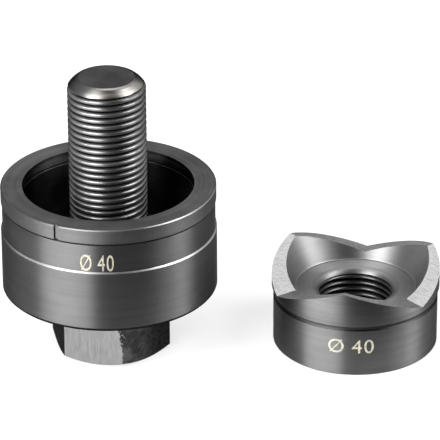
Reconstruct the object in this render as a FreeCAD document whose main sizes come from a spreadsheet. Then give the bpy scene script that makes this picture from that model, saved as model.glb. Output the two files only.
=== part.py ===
import FreeCAD, Part
import Sketcher
import os

# A round knockout punch for sheet metal, as its three loose pieces stand on a bench.
# The draw bolt stands on its hexagon head and carries the die, whose cup opens upwards.
# The punch, a three-pointed cutter that screws on the bolt, stands beside them with its points up.
#
# Millimetres, +Z up. The origin is on the bolt's axis, at the underside of its head.
# The viewer's side is -Y, and the punch stands at +X. Turns are about +Z, from the side at -Y.

SIZES = {
    # What the pieces share
    "cutter_dia": 40.5,           # the hole that the tool cuts
    "cutting_clearance": 0.2,     # from the punch's edge to the die's edge, on the radius
    "thread_dia": 19.05,          # nominal thread of bolt and punch
    "thread_pitch": 1.5875,
    "thread_allowance": 0.38,     # the bolt's crests are this much under the nominal size
    "shank_allowance": 0.05,      # and its plain shank this much
    "bolt_clearance": 0.25,       # from the shank to the die's hole, on the radius
    # Die. Walls and insets are on the radius
    "die_height": 26.4,
    "die_wall": 5.4,              # from the cutting edge to the body's outside
    "die_zone_inset": 0.35,       # the recessed zone that carries the size mark
    "die_band_inset": 0.1,        # the band round the cutting edge
    "die_band_height": 3.55,
    "die_ledge_height": 15.15,    # from the die's base to the ledge under the zone
    "die_land_height": 2.6,       # the ground cutting land in the mouth
    "die_groove_width": 0.7,      # the grinding groove under the land
    "die_groove_depth": 0.4,
    "die_relief": 0.15,           # the cup's wall stands back from the land
    "die_floor_thickness": 7.6,
    "die_floor_fillet": 1.5,
    "die_base_chamfer": 0.45,
    "die_rim_chamfer": 0.25,
    "notch_width": 1.2,           # the setting notch in the band
    "notch_depth": 0.6,           # from the body's outside, a little deeper than the zone
    "notch_turn": -28.0,
    # Draw bolt
    "head_height": 15.85,         # with the bearing face
    "head_flats": 26.0,
    "head_turn": -17.8,
    "head_chamfer_inset": 0.1,    # from the flats to the chamfer's inner edge
    "head_chamfer_angle": 30.0,
    "bearing_face_inset": 0.5,    # from the flats to the round face that bears on the die
    "bearing_face_height": 0.5,
    "shank_length": 9.5,
    "shank_fillet": 0.8,
    "bolt_length": 54.0,          # from the bearing face to the end
    "bolt_end_chamfer": 2.2,
    "bolt_end_fillet": 1.2,
    # Punch. Walls and insets are on the radius
    "punch_body_inset": 0.4,      # from the cutting edge to the body under the groove
    "punch_neck_inset": 0.5,      # and to the neck over it
    "punch_groove_height": 11.9,
    "punch_groove_width": 1.1,
    "punch_groove_depth": 0.3,
    "punch_flare_rise": 1.7,      # from the neck up to the full cutting size
    "punch_base_chamfer": 0.4,
    "punch_hole_chamfer": 1.0,
    "valley_height": 14.75,       # the lowest points of the cutting edge
    "face_angle": 17.26,          # rise of each ground face from its valley
    "face_tilt": 8.5,             # the valleys fall outwards by this angle
    "bowl_floor_drop": 0.9,       # from the valleys down to the bowl's floor
    "bowl_wall_angle": 27.9,      # from upright
    "point_land": 1.45,           # the ring between bowl and cutting edge, at the height of the points
    "grinding_stock": 0.5,        # what is ground off above the points
    "bowl_fillet": 0.6,
    "bowl_shoulder_radius": 1.9,  # the rounded mouth of the threaded hole
    "punch_turn": 48.8,
    "standing_gap": 13.1,         # from the die's side to the punch's, as they stand
}
CUTTING_POINTS = 3
# The crests of a 60 degree thread in a hole are this many pitches narrower than its nominal diameter
CREST_PITCHES = 1.0825
TOLERANCE = 1e-4

# Radii and heights that more than one piece or feature takes, as expressions of the sheet
CUTTING_EDGE = "Sizes.cutter_dia / 2"
DIE_LAND = f"({CUTTING_EDGE} + Sizes.cutting_clearance)"
DIE_SIDE = f"({DIE_LAND} + Sizes.die_wall)"
DIE_ZONE = f"({DIE_SIDE} - Sizes.die_zone_inset)"
DIE_BAND_FOOT = "(Sizes.die_height - Sizes.die_band_height)"
SHANK = "((Sizes.thread_dia - Sizes.shank_allowance) / 2)"
BOLT_CREST = "((Sizes.thread_dia - Sizes.thread_allowance) / 2)"
BEARING_FACE_FOOT = "(Sizes.head_height - Sizes.bearing_face_height)"
# Half the turn from one valley to the next, and how far the cutting edge has risen there
HALF_STEP = 180 / CUTTING_POINTS
FACE_RISE = f"sin({HALF_STEP}deg) * tan(Sizes.face_angle) / cos(Sizes.face_tilt)"
TILT_RISE = f"(1 - cos({HALF_STEP}deg)) * tan(Sizes.face_tilt)"
GROUND_AT_POINTS = f"{CUTTING_EDGE} * ({FACE_RISE} + {TILT_RISE})"

document = FreeCAD.newDocument("KnockoutPunch")
sheet = document.addObject("Spreadsheet::Sheet", "Sizes")
for row, (alias, number) in enumerate(SIZES.items(), start=1):
    sheet.set(f"A{row}", alias)
    sheet.set(f"B{row}", str(number))
    sheet.setAlias(f"B{row}", alias)
document.recompute()


def size(alias):
    """The number that the sheet holds for a size."""
    return float(getattr(sheet, alias))


def new_body(name):
    body = document.addObject("PartDesign::Body", name)
    body.Label = name
    return body


def origin_item(body, role):
    """A plane or an axis of the body's own origin."""
    return next(item for item in body.Origin.OriginFeatures if item.Role == role)


def turn_about(axis, angle):
    return FreeCAD.Placement(FreeCAD.Vector(), FreeCAD.Rotation(axis, angle))


def new_sketch(body, name, role):
    sketch = body.newObject("Sketcher::SketchObject", name)
    sketch.AttachmentSupport = [(origin_item(body, role), "")]
    sketch.MapMode = "FlatFace"
    return sketch


def outline(sketch, points):
    """Draw a closed outline. Each point is a name and two coordinates, given as expressions of the sheet."""
    count = len(points)
    for number in range(count):
        start = FreeCAD.Vector(number, number ** 2, 0)
        end = FreeCAD.Vector(number + 1, (number + 1) ** 2, 0)
        sketch.addGeometry(Part.LineSegment(start, end), False)
    for number in range(count):
        sketch.addConstraint(Sketcher.Constraint("Coincident", number, 2, (number + 1) % count, 1))
    for number, (name, across, up) in enumerate(points):
        for kind, suffix, expression in (("DistanceX", "across", across), ("DistanceY", "up", up)):
            index = sketch.addConstraint(Sketcher.Constraint(kind, -1, 1, number, 1, 1.0))
            constraint = f"{name}_{suffix}"
            sketch.renameConstraint(index, constraint)
            sketch.setExpression(f"Constraints.{constraint}", expression)
    document.recompute()


def turned(body, kind, name, points):
    """Turn an outline, drawn as radius and height, about the body's upright axis."""
    sketch = new_sketch(body, f"{name}_outline", "XZ_Plane")
    outline(sketch, points)
    feature = body.newObject(f"PartDesign::{kind}", name)
    feature.Profile = sketch
    feature.ReferenceAxis = (sketch, ["V_Axis"])
    feature.Angle = 360
    document.recompute()
    return feature


def corner(feature, point):
    """Height and radius of the ring that a named point of a turned feature's outline leaves."""
    sketch = feature.Profile[0]
    return sketch.getDatum(f"{point}_up").Value, sketch.getDatum(f"{point}_across").Value


def rings(feature, height, radius):
    """Names of the feature's round edges at a height, with a radius."""
    found = []
    for number, edge in enumerate(feature.Shape.Edges, start=1):
        if not isinstance(edge.Curve, Part.Circle):
            continue
        off_height = abs(edge.Curve.Center.z - height)
        off_radius = abs(edge.Curve.Radius - radius)
        if max(off_height, off_radius) < TOLERANCE:
            found.append(f"Edge{number}")
    if not found:
        raise RuntimeError(f"{feature.Name} has no round edge at height {height} with radius {radius}")
    return found


def finish_edges(body, kind, name, base, expression, places):
    """Chamfer or fillet the rings at some places, each a height and a radius."""
    feature = body.newObject(f"PartDesign::{kind}", name)
    feature.Base = (base, [edge for height, radius in places for edge in rings(base, height, radius)])
    feature.setExpression("Size" if kind == "Chamfer" else "Radius", expression)
    document.recompute()
    return feature


def check_cut(cut, base, name):
    if cut.Shape.Volume >= base.Shape.Volume - TOLERANCE:
        raise RuntimeError(f"{name} removes nothing")


def make_die():
    """The die: a cup with a ground land in its mouth, and a plain hole for the bolt in its floor."""
    body = new_body("die")
    groove = f"{DIE_LAND} + Sizes.die_groove_depth"
    wall = f"{DIE_LAND} + Sizes.die_relief"
    band = f"{DIE_SIDE} - Sizes.die_band_inset"
    hole = f"{SHANK} + Sizes.bolt_clearance"
    land_foot = "Sizes.die_height - Sizes.die_land_height"
    groove_foot = f"{land_foot} - Sizes.die_groove_width"
    cup = turned(body, "Revolution", "die_cup", [
        ("hole_foot", hole, "0"),
        ("base", DIE_SIDE, "0"),
        ("ledge", DIE_SIDE, "Sizes.die_ledge_height"),
        ("zone_foot", DIE_ZONE, "Sizes.die_ledge_height + Sizes.die_zone_inset"),
        ("zone_top", DIE_ZONE, DIE_BAND_FOOT),
        ("band_foot", band, DIE_BAND_FOOT),
        ("rim", band, "Sizes.die_height"),
        ("cutting_edge", DIE_LAND, "Sizes.die_height"),
        ("land_foot", DIE_LAND, land_foot),
        ("groove_top", groove, land_foot),
        ("groove_foot", groove, groove_foot),
        ("wall_top", wall, groove_foot),
        ("wall_foot", wall, "Sizes.die_floor_thickness"),
        ("hole_top", hole, "Sizes.die_floor_thickness"),
    ])
    rounded = finish_edges(body, "Fillet", "die_floor_round", cup, "Sizes.die_floor_fillet",
                           [corner(cup, "wall_foot")])
    based = finish_edges(body, "Chamfer", "die_base_edge", rounded, "Sizes.die_base_chamfer",
                         [corner(cup, "base")])
    rimmed = finish_edges(body, "Chamfer", "die_rim_edge", based, "Sizes.die_rim_chamfer",
                          [corner(cup, "rim")])
    # This chamfer lets the die sit down over the fillet under the bolt's head
    hole_edge = "Sizes.shank_fillet + Sizes.bolt_clearance"
    holed = finish_edges(body, "Chamfer", "die_hole_edges", rimmed, hole_edge,
                         [corner(cup, "hole_foot"), corner(cup, "hole_top")])
    cut_notch(body, holed)
    body.setExpression("Placement.Base.z", "Sizes.head_height")
    return body


def cut_notch(body, base):
    """Cut the setting notch through the band, over its whole height."""
    floor = f"({DIE_SIDE} - Sizes.notch_depth)"
    sketch = new_sketch(body, "notch_outline", "XY_Plane")
    sketch.AttachmentOffset = turn_about(FreeCAD.Vector(0, 0, 1), size("notch_turn"))
    sketch.setExpression("AttachmentOffset.Rotation.Angle", "Sizes.notch_turn")
    sketch.setExpression("AttachmentOffset.Base.z", "Sizes.die_height")
    outline(sketch, [
        ("left_out", "-Sizes.notch_width / 2", f"-{DIE_SIDE}"),
        ("right_out", "Sizes.notch_width / 2", f"-{DIE_SIDE}"),
        ("right_in", "Sizes.notch_width / 2", f"-{floor}"),
        ("left_in", "-Sizes.notch_width / 2", f"-{floor}"),
    ])
    notch = body.newObject("PartDesign::Pocket", "setting_notch")
    notch.Profile = sketch
    notch.setExpression("Length", "Sizes.die_band_height")
    document.recompute()
    check_cut(notch, base, "the setting notch")


def make_draw_bolt():
    """The draw bolt: a hexagon head, a plain shank that turns in the die, and the threaded length."""
    body = new_body("draw_bolt")
    head = body.newObject("PartDesign::AdditivePrism", "head_prism")
    head.AttachmentSupport = [(origin_item(body, "XY_Plane"), "")]
    head.MapMode = "FlatFace"
    head.Polygon = 6
    head.AttachmentOffset = turn_about(FreeCAD.Vector(0, 0, 1), size("head_turn"))
    head.setExpression("AttachmentOffset.Rotation.Angle", "Sizes.head_turn")
    head.setExpression("Circumradius", "Sizes.head_flats / sqrt(3)")
    head.setExpression("Height", BEARING_FACE_FOOT)
    document.recompute()

    chamfer_edge = "Sizes.head_flats / 2 - Sizes.head_chamfer_inset"
    chamfer_rise = f"(Sizes.head_flats - ({chamfer_edge})) * tan(Sizes.head_chamfer_angle)"
    chamfered = turned(body, "Groove", "head_chamfer", [
        ("inner", chamfer_edge, "0"),
        ("outer", "Sizes.head_flats", "0"),
        ("side", "Sizes.head_flats", chamfer_rise),
    ])
    check_cut(chamfered, head, "the head's chamfer")

    bearing_face = "Sizes.head_flats / 2 - Sizes.bearing_face_inset"
    shank_top = "Sizes.head_height + Sizes.shank_length"
    shank = turned(body, "Revolution", "shank_and_thread", [
        ("face_centre", "0", BEARING_FACE_FOOT),
        ("face_foot", bearing_face, BEARING_FACE_FOOT),
        ("face_edge", bearing_face, "Sizes.head_height"),
        ("shank_foot", SHANK, "Sizes.head_height"),
        ("shank_top", SHANK, shank_top),
        ("thread_foot", BOLT_CREST, f"{shank_top} + {SHANK} - {BOLT_CREST}"),
        ("end_edge", BOLT_CREST, "Sizes.head_height + Sizes.bolt_length"),
        ("end_centre", "0", "Sizes.head_height + Sizes.bolt_length"),
    ])
    rounded = finish_edges(body, "Fillet", "shank_round", shank, "Sizes.shank_fillet",
                           [corner(shank, "shank_foot")])
    pointed = finish_edges(body, "Chamfer", "end_chamfer", rounded, "Sizes.bolt_end_chamfer",
                           [corner(shank, "end_edge")])
    end, crest_radius = corner(shank, "end_edge")
    finish_edges(body, "Fillet", "end_round", pointed, "Sizes.bolt_end_fillet",
                 [(end - size("bolt_end_chamfer"), crest_radius)])
    return body


def make_punch():
    """The punch: a turned bowl with a threaded hole, ground across its top to three cutting points."""
    body = new_body("punch")
    hole = f"(Sizes.thread_dia - {CREST_PITCHES} * Sizes.thread_pitch) / 2"
    side = f"{CUTTING_EDGE} - Sizes.punch_body_inset"
    groove = f"{side} - Sizes.punch_groove_depth"
    groove_top = "Sizes.punch_groove_height + Sizes.punch_groove_width"
    floor = "(Sizes.valley_height - Sizes.bowl_floor_drop)"
    points = f"({GROUND_AT_POINTS} + Sizes.valley_height)"
    bowl_foot = f"{CUTTING_EDGE} - Sizes.point_land - ({points} - {floor}) * tan(Sizes.bowl_wall_angle)"
    blank_top = f"({points} + Sizes.grinding_stock)"
    bowl_mouth = f"{bowl_foot} + ({blank_top} - {floor}) * tan(Sizes.bowl_wall_angle)"
    blank = turned(body, "Revolution", "punch_blank", [
        ("hole_foot", hole, "0"),
        ("base", side, "0"),
        ("groove_foot", side, "Sizes.punch_groove_height"),
        ("groove_floor", groove, "Sizes.punch_groove_height + Sizes.punch_groove_depth"),
        ("groove_end", groove, f"{groove_top} - Sizes.punch_groove_depth"),
        ("neck", f"{CUTTING_EDGE} - Sizes.punch_neck_inset", groove_top),
        ("flare_top", CUTTING_EDGE, f"{groove_top} + Sizes.punch_flare_rise"),
        ("blank_edge", CUTTING_EDGE, blank_top),
        ("bowl_mouth", bowl_mouth, blank_top),
        ("bowl_foot", bowl_foot, floor),
        ("hole_top", hole, floor),
    ])
    based = finish_edges(body, "Chamfer", "punch_base_edge", blank, "Sizes.punch_base_chamfer",
                         [corner(blank, "base")])
    entered = finish_edges(body, "Chamfer", "punch_hole_entry", based, "Sizes.punch_hole_chamfer",
                           [corner(blank, "hole_foot")])
    mouthed = finish_edges(body, "Fillet", "hole_shoulder", entered, "Sizes.bowl_shoulder_radius",
                           [corner(blank, "hole_top")])
    bowl = finish_edges(body, "Fillet", "bowl_round", mouthed, "Sizes.bowl_fillet",
                        [corner(blank, "bowl_foot")])
    grind_points(body, bowl)
    body.Placement = turn_about(FreeCAD.Vector(0, 0, 1), size("punch_turn"))
    body.setExpression("Placement.Rotation.Angle", "Sizes.punch_turn")
    body.setExpression("Placement.Base.x", f"{DIE_SIDE} + Sizes.standing_gap + {CUTTING_EDGE}")
    return body


def grind_points(body, base):
    """Grind V-shaped valleys outwards from the axis. Where two of them meet, a point is left standing."""
    sketch = new_sketch(body, "valley_outline", "XZ_Plane")
    sketch.AttachmentOffset = turn_about(FreeCAD.Vector(1, 0, 0), size("face_tilt"))
    sketch.setExpression("AttachmentOffset.Rotation.Angle", "Sizes.face_tilt")
    reach = "Sizes.cutter_dia"
    apex = f"Sizes.valley_height * cos(Sizes.face_tilt) + {CUTTING_EDGE} * sin(Sizes.face_tilt)"
    side = f"{apex} + {reach} * tan(Sizes.face_angle)"
    over = f"{apex} + {reach}"
    outline(sketch, [
        ("apex", "0", apex),
        ("right_side", reach, side),
        ("right_over", reach, over),
        ("left_over", f"-{reach}", over),
        ("left_side", f"-{reach}", side),
    ])
    valley = body.newObject("PartDesign::Pocket", "valley")
    valley.Profile = sketch
    valley.Reversed = True
    valley.setExpression("Length", reach)
    document.recompute()
    check_cut(valley, base, "the first valley")
    points = body.newObject("PartDesign::PolarPattern", "cutting_points")
    points.Originals = [valley]
    points.Axis = (origin_item(body, "Z_Axis"), [""])
    points.Angle = 360
    points.Occurrences = CUTTING_POINTS
    body.Tip = points
    document.recompute()
    check_cut(points, valley, "the valleys' pattern")


def write(bodies):
    """Check every object of the document, then write each piece to its own file."""
    document.recompute()
    for item in document.Objects:
        if "Invalid" in item.State or "Error" in item.State:
            raise RuntimeError(f"{item.Name} did not recompute: {item.State}")
    for body in bodies:
        shape = body.Shape
        if shape.isNull() or not shape.isValid() or len(shape.Solids) != 1:
            raise RuntimeError(f"{body.Label} is not one valid solid")
    os.makedirs("parts", exist_ok=True)
    for body in bodies:
        body.Shape.exportStep(f"parts/{body.Label}.step")
        box = body.Shape.BoundBox
        print(f"{body.Label}: {body.Shape.Volume:.0f} mm3, "
              f"x {box.XMin:.2f} to {box.XMax:.2f}, y {box.YMin:.2f} to {box.YMax:.2f}, "
              f"z {box.ZMin:.2f} to {box.ZMax:.2f}")


write([make_die(), make_draw_bolt(), make_punch()])
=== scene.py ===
# %% [markdown]
# # A knockout punch in steel
# The object is a set of three loose steel pieces: a draw bolt that stands on its hexagon head, the
# die that the bolt carries, and the punch that stands beside them with its points up. The CAD
# model says where they are and how big. This lesson builds each again as a fine surface of the
# same form, with the thread that the CAD model leaves out, and gives every face its finish.

# %% Open the frame
import math

import bmesh
import bpy
import numpy as np
from mathutils import Matrix, Vector


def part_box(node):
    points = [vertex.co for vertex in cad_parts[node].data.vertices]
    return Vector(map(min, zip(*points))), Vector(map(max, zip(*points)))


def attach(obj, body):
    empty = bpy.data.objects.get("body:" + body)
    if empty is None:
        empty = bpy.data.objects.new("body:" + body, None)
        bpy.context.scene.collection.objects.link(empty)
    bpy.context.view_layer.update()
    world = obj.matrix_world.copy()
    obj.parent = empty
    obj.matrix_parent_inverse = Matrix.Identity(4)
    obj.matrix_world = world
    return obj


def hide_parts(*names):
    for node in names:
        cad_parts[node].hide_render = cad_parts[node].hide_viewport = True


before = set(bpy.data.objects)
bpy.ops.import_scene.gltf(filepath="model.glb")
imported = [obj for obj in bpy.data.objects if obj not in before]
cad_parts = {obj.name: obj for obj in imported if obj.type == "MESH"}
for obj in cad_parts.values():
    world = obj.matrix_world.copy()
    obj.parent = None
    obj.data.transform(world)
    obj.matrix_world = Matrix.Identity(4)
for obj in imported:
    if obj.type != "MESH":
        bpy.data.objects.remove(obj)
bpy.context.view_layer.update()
MM = 0.001


# %% [markdown]
# Sizes that the CAD model's boxes give are read there, so the surfaces can't drift away from the
# solids. The rest repeats the CAD model's own sizes, in millimetres. The punch has its own axis,
# to the right of the bolt's.

# %% Sizes that more than one piece needs
die_low, die_high = (np.array(corner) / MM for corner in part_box("die"))
punch_low, punch_high = (np.array(corner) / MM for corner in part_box("punch"))
BOLT_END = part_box("draw_bolt")[1][2] / MM

DIE_SIDE = min(-die_low[0], die_high[1])
CUTTING_EDGE = (punch_high[1] - punch_low[1]) / 2
BOLT_AXIS = np.array([0.0, 0.0])
PUNCH_AXIS = np.array([(punch_high[0] + punch_low[0]) / 2, 0.0])

THREAD_PITCH = 1.5875
THREAD_DEPTH = 0.9
BOLT_CREST = 9.335  # radius over the bolt's thread
BOLT_SHANK = 9.5
PUNCH_CREST = 8.666  # radius of the crests in the punch's hole
print(f"die radius {DIE_SIDE:.2f} mm, cutting radius {CUTTING_EDGE:.2f} mm, "
      f"punch at x {PUNCH_AXIS[0]:.2f} mm")

# %% [markdown]
# A turned piece is an outline carried round an axis. Real turned edges are never quite sharp: the
# tool or a file breaks them. So every corner of an outline gets its own small arc, which catches
# the light as a thin bright line. A Bevel modifier could round the edges too, but an arc in the
# outline has exactly the radius that is asked for. It is worked out as a weighted curve of three
# points: where the arc starts, the corner itself, and where it ends.

# %% Outlines with rounded corners
ARC_STEPS = 4
ARC_SHARE = 0.3  # the most that an arc takes of the shorter run beside it
HOLD = 0.06  # a point this far beyond each arc keeps the run's shading flat
HOLD_SHARE = 0.1  # the most that this takes of the shorter run
SAME_PLACE = 1e-6  # closer points are one, as where a corner doesn't turn


def rounded(corners, ends_meet):
    """Points of an outline with an arc at each corner, and the finish of the run that each starts.

    A corner is (radius, height, arc radius, finish). The arc starts and ends at a distance of
    arc radius * tan(half the turn) from the corner. With u from 0 to 1 and w the cosine of half the
    turn, it is ((1-u)^2 start + 2u(1-u)w corner + u^2 end) / ((1-u)^2 + 2u(1-u)w + u^2).
    """
    radius, height, arc, finish = zip(*corners)
    place = np.stack([radius, height], axis=1).astype(float)
    before = place - np.roll(place, 1, axis=0)
    run = np.linalg.norm(before, axis=1)
    inward = before / run[:, None]
    onward = np.roll(inward, -1, axis=0)
    half_turn = np.arccos(np.clip((inward * onward).sum(axis=1), -1, 1)) / 2
    shorter = np.minimum(run, np.roll(run, -1))
    reach = np.minimum(np.tan(half_turn) * arc, ARC_SHARE * shorter)[:, None]
    hold = np.minimum(HOLD, HOLD_SHARE * shorter)[:, None]
    start = place - inward * reach
    end = place + onward * reach
    u = np.linspace(0, 1, ARC_STEPS + 1)
    shares = np.stack([(1 - u) ** 2, 2 * u * (1 - u), u ** 2])
    weight = np.stack([np.ones_like(half_turn), np.cos(half_turn), np.ones_like(half_turn)])
    mix = shares[:, None, :] * weight[:, :, None]
    mix /= mix.sum(axis=0)
    arcs = np.einsum("kns,knc->nsc", mix, np.stack([start, place, end]))
    ahead, beyond = (start - inward * hold)[:, None], (end + onward * hold)[:, None]
    points = np.concatenate([ahead, arcs, beyond], axis=1)
    names = [[finish[n - 1]] + [finish[n]] * (ARC_STEPS + 2) for n in range(len(corners))]
    if ends_meet:
        points, names = points.reshape(-1, 2), sum(names, [])
    else:
        points = np.concatenate([place[:1], points[1:-1].reshape(-1, 2), place[-1:]])
        names = [finish[0]] + sum(names[1:-1], []) + [finish[-1]]
    kept = np.linalg.norm(np.roll(points, -1, axis=0) - points, axis=1) > SAME_PLACE
    return points[kept], [name for name, here in zip(names, kept) if here]


square = [(x, y, 0.2, "plain") for x, y in ((1, 0), (2, 0), (2, 1), (1, 1))]
print(len(rounded(square, True)[0]), "points round a square outline")

# %% [markdown]
# Every piece here becomes a grid: one row for each point along the outline, one column for each
# angle round the axis. Radius and height may change from column to column, so the same grid holds
# a hexagon, a screw thread or the punch's wavy crown. Where the piece has a hole through it, the
# last row joins the first. Where it has none, each end closes on one point.

# %% From a grid of radii and heights to a closed mesh
SHARP_ANGLE = 30.0


def round_axis(axis, radius, angles, height):
    """Points round an upright axis: x = axis x + r cos(angle), y = axis y + r sin(angle)."""
    place = axis[0] + radius * np.cos(angles), axis[1] + radius * np.sin(angles), height
    return np.stack(np.broadcast_arrays(*place), axis=-1)


def all_round(rows, angles):
    """Radius and height of an outline's rows, the same at every angle."""
    return np.repeat(rows.T[:, :, None], len(angles), axis=2)


def put_in_scene(name, data):
    """An object for a mesh, a text, a lamp or a camera, linked to the scene."""
    thing = bpy.data.objects.new(name, data)
    bpy.context.scene.collection.objects.link(thing)
    return thing


def skin(name, axis, angles, radius, height, finishes, materials, ring):
    """A closed mesh from rows by columns of radius and height.

    Each face joins a point, its left neighbour round the axis, and the two points one row on. Rows
    that run up the outside, in over the top and down the inside make the faces point outwards.
    """
    rows, columns = radius.shape
    points = round_axis(axis, radius, angles, height).reshape(-1, 3)
    index = np.arange(rows * columns).reshape(rows, columns)
    if ring:
        index = np.concatenate([index, index[:1]])
    left = np.roll(index, -1, axis=1)
    quads = np.stack([index[:-1], left[:-1], left[1:], index[1:]], axis=2)
    faces = quads.reshape(-1, 4).tolist()
    slots = list(materials)
    row_slot = [slots.index(finish) for finish in finishes]
    face_slot = np.repeat(row_slot[:len(index) - 1], columns)
    if not ring:
        poles = [[*axis, height[0].mean()], [*axis, height[-1].mean()]]
        points = np.concatenate([points, poles])
        foot = np.full(columns, rows * columns)
        foot_fan = np.stack([left[0], index[0], foot], axis=1)
        top_fan = np.stack([index[-1], left[-1], foot + 1], axis=1)
        faces += foot_fan.tolist() + top_fan.tolist()
        face_slot = np.concatenate([face_slot, np.repeat([row_slot[0], row_slot[-1]], columns)])
    mesh = bpy.data.meshes.new(name)
    mesh.from_pydata((points * MM).tolist(), [], faces)
    for material in materials.values():
        mesh.materials.append(material)
    mesh.polygons.foreach_set("material_index", face_slot.astype(np.int32))
    mesh.polygons.foreach_set("use_smooth", np.ones(len(faces), bool))
    mesh.set_sharp_from_angle(angle=math.radians(SHARP_ANGLE))
    mesh.update()
    triangles = sum(len(face) - 2 for face in faces)
    print(f"{name}: {rows} rows, {columns} columns, {triangles} triangles")
    return put_in_scene(name, mesh)


def full_turn(count, start):
    """Angles for a number of equal columns round the axis, from a starting angle in degrees."""
    return np.radians(start) + np.arange(count) * 2 * np.pi / count


# %% [markdown]
# The finishes come from how steel is worked. A turned face carries fine lines round its axis. Each
# line is a tiny groove, so light spreads across the lines, and a highlight on an upright wall
# becomes a tall stripe. The lines are a noise pattern squeezed so that it changes fast across them
# and slowly along them. Adding the radius to the height gives one measure that runs up a wall, in
# over a rim and down a cone, so one node group serves all turned faces, each with its own values.

# %% Small helpers for shader nodes
WIDE = (0.3, 0.7)  # the span that holds nearly all of a noise
FIRM = (0.35, 0.65)  # a narrower one, for a firmer contrast


def feed(socket, value):
    """Link an output into a socket, or set the socket to a plain value."""
    if isinstance(value, bpy.types.NodeSocket):
        socket.id_data.links.new(value, socket)
    else:
        socket.default_value = value


def fill(sockets, values):
    """Feed several sockets, each by its name or number."""
    for name, value in values.items():
        feed(sockets[name], value)


def add(tree, kind, inputs, **settings):
    """The outputs of a new node."""
    step = tree.nodes.new("ShaderNode" + kind)
    for name, value in settings.items():
        setattr(step, name, value)
    fill(step.inputs, inputs)
    return step.outputs


def maths(operation, first, second=0.0, clamp=False):
    """One Math node on a link and a second value or link. A link knows its own node tree."""
    values = {0: first, 1: second}
    return add(first.id_data, "Math", values, operation=operation, use_clamp=clamp)[0]


def times(first, second):
    """One Multiply node."""
    return maths("MULTIPLY", first, second)


def weighted_sum(first, first_weight, second, second_weight, clamp=False):
    """Each of two values times its own weight, added."""
    return maths("ADD", times(first, first_weight), times(second, second_weight), clamp)


def spread(value, low, high, to_low=0.0, to_high=1.0):
    """Carry a value from one span to another, smoothly and without leaving the new span."""
    values = dict(enumerate((value, low, high, to_low, to_high)))
    return add(value.id_data, "MapRange", values, interpolation_type="SMOOTHSTEP")[0]


def noise(vector, scale, detail=3.0, roughness=0.55):
    """A Noise node on a vector, with a scale in waves per metre. Its value lies round 0.5."""
    values = {"Vector": vector, "Scale": scale, "Detail": detail, "Roughness": roughness}
    return add(vector.id_data, "TexNoise", values)[0]


def blend_colours(share, first, second):
    """Mix two colours by a share from 0 to 1."""
    return add(share.id_data, "Mix", {0: share, 6: first, 7: second}, data_type="RGBA")[2]


def grey(level, warmth=0.0):
    """A grey, with a share of warmth that lifts red and lowers blue."""
    return (level * (1 + warmth), level, level * (1 - warmth), 1.0)


# %% Helpers for where a point is
def object_place(tree):
    """The place of each point in the object's own metres."""
    return add(tree, "TexCoord", {})["Object"]


def stored_value(tree, name, output):
    """What the mesh stores at each point under a name."""
    return add(tree, "Attribute", {}, attribute_name=name)[output]


def mapped(vector, setting, value):
    """A vector after a Mapping node with one setting: Location, Rotation or Scale."""
    return add(vector.id_data, "Mapping", {"Vector": vector, setting: value})[0]


def split(vector):
    """The x, y and z of a vector."""
    return add(vector.id_data, "SeparateXYZ", {0: vector})


# %% The node group of turned lines
BAND_RATE = 0.18  # the coarse bands change this much as fast as the lines
CLOUD_SCALE = 110.0


def turned_lines():
    """Lines round an upright axis. With s = height + radius, the pattern is noise at (x, y, s),
    where x and y are scaled down along the lines and s is scaled up across them. Fine lines and
    coarse bands come from two such noises, and a third, even in all directions, gives clouds."""
    tree = bpy.data.node_groups.new("turned lines", "ShaderNodeTree")
    for label, kind in (("Place", "Vector"), ("Lines per mm", "Float"), ("Length", "Float")):
        tree.interface.new_socket(label, in_out="INPUT", socket_type=f"NodeSocket{kind}")
    for label in ("Lines", "Bands", "Clouds"):
        tree.interface.new_socket(label, in_out="OUTPUT", socket_type="NodeSocketFloat")
    given = tree.nodes.new("NodeGroupInput").outputs
    x, y, z = split(given["Place"])
    across = maths("ADD", z, maths("SQRT", weighted_sum(x, x, y, y)))
    lines_per_metre = times(given["Lines per mm"], 1 / MM)
    along = times(given["Length"], lines_per_metre)

    def streaks(share, detail):
        """Squeezed noise whose rate is a share of the lines' own."""
        rate = times(along, share)
        fast = times(times(across, lines_per_metre), share)
        vector = add(tree, "CombineXYZ", {0: times(x, rate), 1: times(y, rate), 2: fast})[0]
        return noise(vector, 1.0, detail)

    fill(tree.nodes.new("NodeGroupOutput").inputs,
         {"Lines": streaks(1.0, 2.0), "Bands": streaks(BAND_RATE, 3.0),
          "Clouds": noise(given["Place"], CLOUD_SCALE, 4.0)})
    return tree


TURNED_LINES = turned_lines()
print("node group:", TURNED_LINES.name)

# %% [markdown]
# All the steels share one recipe. A metal's base colour is the colour of its reflections, and
# oil-blackened steel has a dark one. The group's bands and clouds move it between a darker and a
# lighter tone, and its fine lines move the roughness and feed a Bump node. A radial tangent runs
# round the axis, along the lines, and anisotropy spreads the light across them. Metals turn whiter
# towards a grazing view. Oil-blackened steel does so far less, so its specular tint, which is a
# metal's colour at its edge, is dark.

# %% The recipe for turned steel
LINE_LENGTH = 0.02  # how fast the lines change along themselves, against across
QUARTER_TURN = 0.25  # turns the anisotropy from along the tangent to across it


def new_material(name):
    """A material with its node tree and its Principled shader's inputs."""
    material = bpy.data.materials.new(name)
    material.use_nodes = True
    tree = material.node_tree
    return material, tree, tree.nodes["Principled BSDF"].inputs


def bare_metal(look, brink, height, depth):
    """Make it metal, with the grey that it takes at a grazing view, and a relief in mm."""
    relief = add(height.id_data, "Bump", {"Distance": depth * MM, "Height": height})[0]
    fill(look, {"Metallic": 1.0, "Specular Tint": grey(brink), "Normal": relief})


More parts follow.
